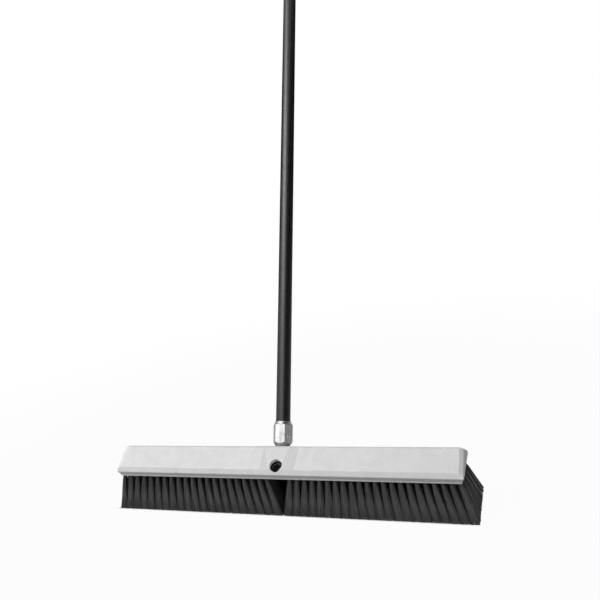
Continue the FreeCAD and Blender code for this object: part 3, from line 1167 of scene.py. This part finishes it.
@dataclass
class Ferrule:
    """Hexagonal ferrule with its threaded stud, the rivet in one flat and the rubber ring below it."""

    zinc: bpy.types.Material
    steel: bpy.types.Material
    rubber: bpy.types.Material
    place: Matrix
    thread_minor: float = 7.0
    thread_major: float = 9.525
    thread_pitch: float = 5.08
    thread_length: float = 12.7
    thread_crest: float = 1.9
    thread_root: float = 3.3
    ring_thickness: float = 2.0
    ring_play: float = 0.1
    ring_inner: float = 7.3
    pilot_radius: float = 10.5
    pilot_height: float = 5.0
    shoulder_radius: float = 12.5
    taper_height: float = 7.8
    flat_radius: float = 15.5
    hex_height: float = 34.0
    hex_turn: float = 3.0
    crown_height: float = 4.8
    crown_radius: float = 14.5
    crown_foot_radius: float = 14.9
    rim_height: float = 0.6
    groove_depth: float = 0.9
    corner_cut: float = 0.2
    corner_blend: float = 0.1
    edge_blend: float = 0.25
    seat_depth: float = 33.0
    seat_radius: float = 12.75
    rivet_height: float = 7.5
    rivet_radius: float = 1.6
    rivet_head: float = 2.6
    rivet_dome: float = 0.9
    rivet_sink: float = 6.0
    pilot_fillet: float = 0.35
    seat_fillet: float = 0.4
    ring_fillet: float = 0.45

    def __post_init__(self) -> None:
        """Work out the heights of the ferrule's shoulders above the socket's ledge."""
        self.taper_foot = self.ring_thickness + self.pilot_height
        self.hex_foot = self.taper_foot + self.taper_height
        self.top = self.hex_foot + self.hex_height
        self.corner_radius = self.flat_radius / math.cos(math.radians(30))

    def thread(self, angle: float, height: float) -> float:
        """Radius of the threaded stud.

        Args:
            angle: Angle round the stud.
            height: Height along it, in millimetres.

        Returns:
            The radius in millimetres.
        """
        first = self.thread_pitch / 2 - self.thread_length
        turns = math.floor(self.thread_length / self.thread_pitch - 1) + 0.5
        lift = -1.0
        for turn in range(3):
            along = turn + (angle % math.tau) / math.tau
            if along <= turns:
                centre = first + along * self.thread_pitch
                lift = max(lift, self.thread_root / 2 - abs(height - centre))
        flank = (self.thread_root - self.thread_crest) / 2
        share = min(max(lift / flank, 0.0), 1.0)
        return self.thread_minor + (self.thread_major - self.thread_minor) * share

    def body_radius(self, angle: float, row: tuple[Ring | float, float]) -> tuple[float, float]:
        """Radius and height of one ring of the ferrule's shell.

        Args:
            angle: Angle round the handle.
            row: Kind of ring and its radius or height.

        Returns:
            (radius, height) in millimetres.
        """
        kind, value = row
        if kind is Ring.STUD:
            return self.thread(angle, value), value
        if kind is Ring.HEXAGON:
            turned = (angle - math.radians(self.hex_turn)) % math.radians(60) - math.radians(30)
            side = self.flat_radius / math.cos(turned)
            side = smallest(side, self.corner_radius - self.corner_cut, self.corner_blend)
            share = (value - self.taper_foot) / self.taper_height
            taper = self.shoulder_radius + (self.corner_radius - self.shoulder_radius) * share
            share = (self.top - value) / self.crown_height
            crown = self.crown_radius + (self.crown_foot_radius - self.crown_radius) * min(share, 1.0)
            below = self.top - self.crown_height - value
            crown += (self.corner_radius - self.crown_foot_radius) * max(below, 0.0) / self.rim_height
            off_groove = abs(value - self.top + self.crown_height) / self.rim_height
            groove = self.groove_depth * max(0.0, 1 - off_groove)
            cone = smallest(taper, crown, self.corner_blend)
            return smallest(side, cone, self.edge_blend) - groove, value
        return kind, value

    def angles(self) -> list[float]:
        """Angles of the shell's columns, close together at the hexagon's corners.

        Returns:
            The angles in radians, in order round the handle.
        """
        offsets = (0.5, 1.0, 1.4, 1.8, 2.4, 3.2, 4.6, 7.0, 10.0, 13.5, 17.5, 21.5, 25.5)
        sector = sorted([0.0, 30.0, *offsets, *(-offset for offset in offsets)])
        return [math.radians(self.hex_turn + 60 * side + offset) for side in range(2, 8) for offset in sector]

    def build(self) -> None:
        """Make the ferrule, its rivet and the ring."""
        rows: list[tuple[Ring | float, float]] = [(ON_AXIS, -self.thread_length)]
        count = 52
        for index in range(count + 1):
            rows.append((Ring.STUD, -self.thread_length * (1 - index / count)))
        pilot = rounded(
            [
                (self.thread_minor, 0.0),
                (self.thread_minor, self.ring_thickness),
                (self.pilot_radius, self.ring_thickness),
                (self.pilot_radius, self.taper_foot),
                (self.shoulder_radius - 0.3, self.taper_foot),
            ],
            self.pilot_fillet,
        )
        rows += pilot[1:]
        # rings stand close together where the cones cut the flats, and far apart between
        cone_gap, rim_gap, crown_gap = 0.26, 0.1, 0.5
        heights = [self.taper_foot + cone_gap * step for step in range(1, 33)]
        crown = self.top - self.crown_height
        rim = crown - self.rim_height
        heights += [self.hex_foot + 1.0 + (rim - self.hex_foot - 1.5) * step / 6 for step in range(7)]
        heights += [rim - 0.3 + rim_gap * step for step in range(14)]
        heights += [crown + self.rim_height + crown_gap * step for step in range(9)]
        rows += [(Ring.HEXAGON, height) for height in heights]
        seat = self.top - self.seat_depth
        inside = rounded(
            [
                (self.crown_radius - 0.05, self.top - 0.02),
                (self.seat_radius, self.top),
                (self.seat_radius, seat),
                (ON_AXIS, seat),
            ],
            self.seat_fillet,
        )
        rows += inside[1:]
        piece = mesh_object("hex_ferrule", polar_shell(rows, self.body_radius, self.angles(), self.place))
        settle(piece, Body.HANDLE, ["ferrule"], self.zinc)
        self.build_rivet()
        self.build_ring()

    def build_rivet(self) -> None:
        """Make the domed rivet in the right-hand flat."""
        angle = math.radians(self.hex_turn - 30)
        outward = Vector((math.cos(angle), math.sin(angle), 0))
        start = self.place @ (Vector((0, 0, self.hex_foot + self.rivet_height)) * MM)
        direction = (self.place.to_3x3() @ outward).normalized()
        turn = direction.to_track_quat("Z", "Y").to_matrix().to_4x4()
        place = Matrix.Translation(start) @ turn
        inside = self.flat_radius - self.rivet_sink
        profile = [
            (ON_AXIS, inside),
            (self.rivet_radius, inside),
            (self.rivet_radius, self.flat_radius),
            (self.rivet_head, self.flat_radius),
        ]
        for step in range(1, 8):
            around = math.radians(90) * step / 7
            reach = max(self.rivet_head * math.cos(around), ON_AXIS)
            profile.append((reach, self.flat_radius + self.rivet_dome * math.sin(around)))
        piece = mesh_object("rivet", lathe(profile, 40, place))
        settle(piece, Body.HANDLE, ["ferrule_rivet"], self.steel)

    def build_ring(self) -> None:
        """Make the rubber ring on the socket's ledge."""
        high = self.ring_thickness - self.ring_play
        middle = (self.ring_inner + self.pilot_radius) / 2
        outline = [
            (middle, 0.0),
            (self.ring_inner, 0.0),
            (self.ring_inner, high),
            (self.pilot_radius, high),
            (self.pilot_radius, 0.0),
            (middle, 0.0),
        ]
        profile = rounded(outline, self.ring_fillet)[:-1]
        piece = mesh_object("rubber_ring", lathe(profile, 72, self.place, closed=True))
        settle(piece, Body.RING, ["socket_ring"], self.rubber)


@dataclass
class Handle:
    """Steel tube and the plastic cap with its hanging eye."""

    enamel: bpy.types.Material
    plastic: bpy.types.Material
    place: Matrix
    ferrule: Ferrule
    tube_radius: float = 12.7
    wall: float = 1.0
    handle_length: float = 1524.0
    eye_height: float = 22.0
    cap_top: float = 3.0

    def build(self) -> None:
        """Make the tube and the cap."""
        foot = self.ferrule.top - self.ferrule.seat_depth
        top = self.handle_length - self.ferrule.thread_length - self.eye_height - self.cap_top
        inner = self.tube_radius - self.wall
        middle = (foot + top) / 2
        outline = [(inner, middle), (inner, foot), (self.tube_radius, foot), (self.tube_radius, top)]
        profile = rounded([*outline, (inner, top), (inner, middle)], 0.15, 2)[:-1]
        tube = mesh_object("tube", lathe(profile, ROUND, self.place, closed=True))
        add_modifier(tube, "WEIGHTED_NORMAL", keep_sharp=True)
        settle(baked(tube), Body.HANDLE, ["handle_tube"], self.enamel)
        settle(self.cap(), Body.HANDLE, ["hang_cap"], self.plastic)

    def cap(self) -> bpy.types.Object:
        """Cap with softened edges, from a merged copy of its CAD node.

        Returns:
            The cap, without a material.
        """
        shape = bmesh.new()
        shape.from_mesh(frame["nodes"]["hang_cap"].data)
        bmesh.ops.remove_doubles(shape, verts=shape.verts, dist=MERGE)
        flat = math.radians(1.0)
        bmesh.ops.dissolve_limit(shape, angle_limit=flat, verts=shape.verts, edges=shape.edges)
        piece = mesh_object("end_cap", shape)
        add_modifier(
            piece,
            "BEVEL",
            width=0.5 * MM,
            segments=3,
            limit_method="ANGLE",
            angle_limit=math.radians(40),
            use_clamp_overlap=False,
        )
        add_modifier(piece, "WEIGHTED_NORMAL", keep_sharp=True)
        baked(piece)
        piece.data.materials.clear()
        return piece


# --- Studio ---


@dataclass
class Studio:
    """Pale floor, a large soft key with weaker lamps, grey screens for the reflections, and the camera.

    Its lengths are in metres.
    """

    floor_size: float = 60.0
    floor_tone: str = "#989898"
    floor_glow: float = 0.965
    footprint: tuple[float, float, float] = (0.305, 0.046, 0.0)
    shadow_near: float = 0.6
    shadow_far: float = 1.5
    shadow_edge: float = 0.008
    mirrored_floor: float = 0.5
    fill: float = 0.16
    low_tone: float = 0.2
    high_tone: float = 0.03
    lens: float = 36.996
    camera_place: tuple[float, float, float] = (0.4200, -0.8640, 0.5550)
    camera_turn: float = 21.221
    camera_dip: float = 12.697
    camera_roll: float = -9.726

    def build(self) -> None:
        """Set the stage."""
        self.build_floor()
        self.build_world()
        self.build_lights()
        self.build_screens()
        self.build_camera()
        bpy.context.scene.view_settings.view_transform = "Standard"

    def build_floor(self) -> None:
        """Plain floor, near white to the camera, that still takes the shadow."""
        shape = bmesh.new()
        bmesh.ops.create_grid(shape, x_segments=1, y_segments=1, size=self.floor_size / 2)
        floor = mesh_object("floor", shape)
        material, node, mix = new_material("matt_white_floor", "ShaderNodeMixShader")
        matt = {"Base Color": linear(self.floor_tone), "Roughness": 1.0, "Specular IOR Level": 0.0}
        feed(mix, {1: node(PRINCIPLED, matt), 2: node(EMISSION, {"Color": WHITE, "Strength": 1.0})})
        rays = node("ShaderNodeLightPath").outputs
        seen = (rays["Is Glossy Ray"], self.mirrored_floor, rays["Is Camera Ray"])
        seen = node(MATHS, seen, operation="MULTIPLY_ADD")
        place = node(PLACE).outputs["Object"]
        reach = node(VECTORS, (place,), operation="LENGTH").outputs["Value"]
        fade = {"From Min": self.shadow_near, "From Max": self.shadow_far, "To Min": self.floor_glow}
        glow = node(RANGE, {"Value": reach, **fade}, interpolation_type="SMOOTHSTEP")
        # straight under the bristles the floor keeps its full shadow
        away = node(VECTORS, (place,), operation="ABSOLUTE")
        away = node(VECTORS, (away, self.footprint), operation="SUBTRACT")
        sides = node(SPLIT, (away,)).outputs
        away = node(MATHS, (sides[0], sides[1]), operation="MAXIMUM")
        clear = node(RANGE, {"Value": away, "From Max": self.shadow_edge})
        glow = node(MATHS, (clear, glow), operation="MULTIPLY")
        feed(mix, {0: node(MATHS, (seen, glow), operation="MULTIPLY")})
        floor.data.materials.append(material)
        floor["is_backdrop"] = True

    def build_world(self) -> None:
        """White to the camera and in reflections, and grey as a light."""
        world = bpy.data.worlds.new("studio")
        bpy.context.scene.world = world
        world.use_nodes = True
        world.node_tree.nodes.clear()
        node = partial(add_node, world.node_tree)
        path = node("ShaderNodeLightPath").outputs
        seen = path["Is Camera Ray"]
        for name in ("Is Glossy Ray", "Is Transmission Ray"):
            seen = node(MATHS, (seen, path[name]), operation="MAXIMUM")
        soft, white = (
            node("ShaderNodeBackground", {"Color": WHITE, "Strength": strength})
            for strength in (self.fill, 1.0)
        )
        node("ShaderNodeOutputWorld", {"Surface": node("ShaderNodeMixShader", (seen, soft, white))})

    def build_lights(self) -> None:
        """Soft key from the left with weaker lamps in front and at the right, and two that only shine."""
        aim = Vector((0, 0, 0.2))
        for name, place, width, height, power, lights, shines in (
            ("key", Vector((-4.6, -1.6, 2.7)), 2.4, 2.4, 292.0, True, False),
            ("front", Vector((-0.7, -1.85, 2.5)), 3.0, 2.4, 21.0, True, False),
            ("sheen", Vector((-0.66, -1.78, 2.4)), 3.0, 2.6, 34.0, False, True),
            ("right", Vector((3.2, -0.6, 2.0)), 1.6, 1.6, 18.0, True, False),
            ("strip", Vector((-1.05, -1.2, 2.9)), 2.2, 1.2, 62.0, False, True),
        ):
            lamp = bpy.data.lights.new(name, "AREA")
            lamp.shape, lamp.size, lamp.size_y, lamp.energy = "RECTANGLE", width, height, power
            holder = bpy.data.objects.new(name, lamp)
            holder.location = place
            holder.rotation_euler = (aim - place).to_track_quat("-Z", "Y").to_euler()
            holder.visible_camera, holder.visible_diffuse, holder.visible_glossy = False, lights, shines
            bpy.context.scene.collection.objects.link(holder)

    def build_screens(self) -> None:
        """Grey screens that only reflections see, dark above, to keep the contrast of black and metal."""
        for name, start, end, foot, top, tone in (
            ("right_low", (1.6, -3.2), (3.2, 3.2), 0.0, 1.0, self.low_tone),
            ("right_high", (1.6, -3.2), (3.2, 3.2), 1.0, 4.0, self.high_tone),
            ("left_low", (-4.4, 3.2), (-4.4, 0.2), 0.0, 1.0, 2 * self.low_tone),
            ("left_high", (-4.4, 3.2), (-4.4, 0.2), 1.0, 4.0, self.high_tone),
            ("back", (3.2, 3.2), (-4.4, 3.2), 0.0, 3.0, self.high_tone),
        ):
            material, _, glow = new_material(name + "_screen", EMISSION)
            feed(glow, {"Color": WHITE, "Strength": tone})
            shape = bmesh.new()
            outline = ((*start, foot), (*end, foot), (*end, top), (*start, top))
            shape.faces.new([shape.verts.new(point) for point in outline])
            screen = mesh_object(name + "_screen", shape)
            screen.data.materials.append(material)
            screen.visible_camera = screen.visible_diffuse = screen.visible_shadow = False
            screen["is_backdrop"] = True

    def build_camera(self) -> None:
        """Camera that looks down at the front of the broom from its right."""
        lens = bpy.data.cameras.new("camera")
        lens.lens, lens.sensor_width = self.lens, 36.0
        lens.clip_start, lens.clip_end = 0.01, 100.0
        camera = bpy.data.objects.new("camera", lens)
        angles = (self.camera_turn, self.camera_dip, self.camera_roll)
        turned, dip, roll = (math.radians(angle) for angle in angles)
        level = Vector((math.cos(turned), math.sin(turned), 0))
        level_ahead = Vector((-math.sin(turned), math.cos(turned), 0)) * math.cos(dip)
        ahead = level_ahead - Vector((0, 0, math.sin(dip)))
        upright = level.cross(ahead)
        right = math.cos(roll) * level + math.sin(roll) * upright
        up = -math.sin(roll) * level + math.cos(roll) * upright
        turn = Matrix((right, up, -ahead)).transposed().to_4x4()
        camera.matrix_world = Matrix.Translation(self.camera_place) @ turn
        bpy.context.scene.collection.objects.link(camera)
        bpy.context.scene.camera = camera


def corners(box: tuple[Vector, Vector]) -> list[list[float]]:
    """Lowest and highest corner as plain lists."""
    return [[round(value, 6) for value in corner] for corner in box]


def main(solid_box: list[list[float]]) -> None:
    """Build every piece in order.

    Args:
        solid_box: Box of the CAD model before anything was replaced; not used.
    """
    logging.basicConfig(level=logging.INFO, format="%(message)s")
    foam = FoamedPlastic().material()
    # painted shade: a near-black tone of the foam that darkens the sockets' bores, ledges and thread
    bore = FoamedPlastic("foamed_polypropylene_bore_painted_shade", "#1e1e1e", "#121212").material()
    # painted shade: a darker tone of the foam for the saddle's ramps and the wedges beside the sockets
    painted_shade = FoamedPlastic("foamed_polypropylene_ramp_painted_shade", "#d1d1d1", "#c8c8c8").material()
    zinc = PlatedSteel("zinc_plated_steel", "#c3c3c3", "#8c8c8c", 0.24, 0.34).material()
    steel = PlatedSteel("bright_steel_wire", "#ececec", "#c4c4c4", 0.1, 0.25).material()
    rubber = PlainPolymer("black_rubber", "#242424", "#161616", 0.7, 0.8).material()
    plastic = PlainPolymer("black_polyethylene", "#202021", "#161617", 0.48, 0.9).material()
    turn = next(joint for joint in frame["joints"] if joint["name"] == "handle_turn")
    handle_place = axis_place(Vector(turn["pos_m"]), Vector(turn["axis"]))
    empty = next(mount for mount in frame["record"]["mounts"] if mount["name"] == "front_socket")
    direction = Vector(empty["axis"])
    ledge = Vector(empty["pos_m"]) + direction * (empty["dims"]["length_mm"] * MM / 2)
    socket_place = axis_place(ledge, direction)

    bristles = Bristles(Filament().material(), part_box("broom_block")[0].z / MM)
    roots = bristles.build()
    BroomBlock(foam, bore, painted_shade, handle_place, socket_place).build(roots)
    for row in Row:
        node = frame["nodes"][f"anchors_{row.value}"]
        node.data.materials.clear()
        node.data.materials.append(steel)
    ferrule = Ferrule(zinc, steel, rubber, handle_place)
    ferrule.build()
    Handle(CoatedSteel().material(), plastic, handle_place, ferrule).build()
    Studio().build()


if __name__ == "__main__":
    main(corners(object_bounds()))
